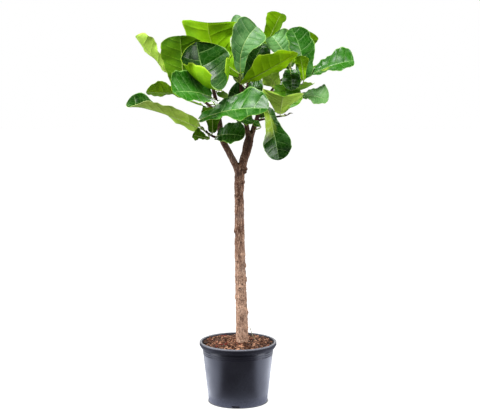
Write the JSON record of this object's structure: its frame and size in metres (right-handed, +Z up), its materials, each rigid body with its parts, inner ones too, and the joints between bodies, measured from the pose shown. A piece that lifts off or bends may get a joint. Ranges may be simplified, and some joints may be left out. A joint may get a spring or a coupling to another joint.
{
  "type": "potted fiddle leaf fig",
  "caption": "Fiddle leaf fig grown as a small standard tree: a crown of large waisted leaves on a bare forked stem, in a round plastic nursery pot topped with bark mulch.",
  "frame": {"origin": "centre of the pot's flat underside, on the ground", "axes": "+Z up along the stem; +X to the right of the plant as seen from its front; +Y to its back"},
  "size_m": [0.8872, 0.5959, 1.5543],
  "materials": {
    "pot_plastic": "satin",
    "potting_soil": "matte",
    "bark_chips": "matte",
    "bark_wood": "matte",
    "young_wood": "matte",
    "leaf_blade": "satin",
    "dry_straw": "matte"
  },
  "bodies": {
    "root": {"bark_mulch": "bark_chips", "dry_stalk": "dry_straw", "leaf_back_centre_high": "leaf_blade", "leaf_back_centre_low": "leaf_blade", "leaf_back_centre_right": "leaf_blade", "leaf_back_crown": "leaf_blade", "leaf_back_left_high": "leaf_blade", "leaf_back_left_low": "leaf_blade", "leaf_back_left_mid": "leaf_blade", "leaf_back_left_outer": "leaf_blade", "leaf_back_lowest": "leaf_blade", "leaf_back_right_high": "leaf_blade", "leaf_back_right_low": "leaf_blade", "leaf_back_right_mid": "leaf_blade", "leaf_back_right_outer": "leaf_blade", "leaf_centre_shaded": "leaf_blade", "leaf_centre_small": "leaf_blade", "leaf_crown_back": "leaf_blade", "leaf_crown_front": "leaf_blade", "leaf_crown_inner": "leaf_blade", "leaf_crown_left_broad": "leaf_blade", "leaf_crown_right_tip": "leaf_blade", "leaf_front_large": "leaf_blade", "leaf_front_raised": "leaf_blade", "leaf_hanging": "leaf_blade", "leaf_left_back_low": "leaf_blade", "leaf_left_broad": "leaf_blade", "leaf_left_front": "leaf_blade", "leaf_left_front_cup": "leaf_blade", "leaf_left_long": "leaf_blade", "leaf_left_outer_top": "leaf_blade", "leaf_low_centre_round": "leaf_blade", "leaf_low_centre_small": "leaf_blade", "leaf_low_left_small": "leaf_blade", "leaf_low_left_upright": "leaf_blade", "leaf_right_back_corner": "leaf_blade", "leaf_right_funnel": "leaf_blade", "leaf_right_low_cup": "leaf_blade", "leaf_right_low_inner": "leaf_blade", "leaf_right_low_outer": "leaf_blade", "leaf_right_outer": "leaf_blade", "leaf_right_pale": "leaf_blade", "leaf_right_small_hanging": "leaf_blade", "leaf_right_upright": "leaf_blade", "leaf_right_young": "leaf_blade", "pot": "pot_plastic", "root_ball_soil": "potting_soil", "shoot_centre": "young_wood", "shoot_left": "young_wood", "shoot_right": "young_wood", "stem": "bark_wood", "twig_back": "young_wood", "twig_left_back": "young_wood", "twig_low_left": "young_wood", "twig_low_right": "young_wood", "twig_right_back": "young_wood"}
  },
  "joints": []
}
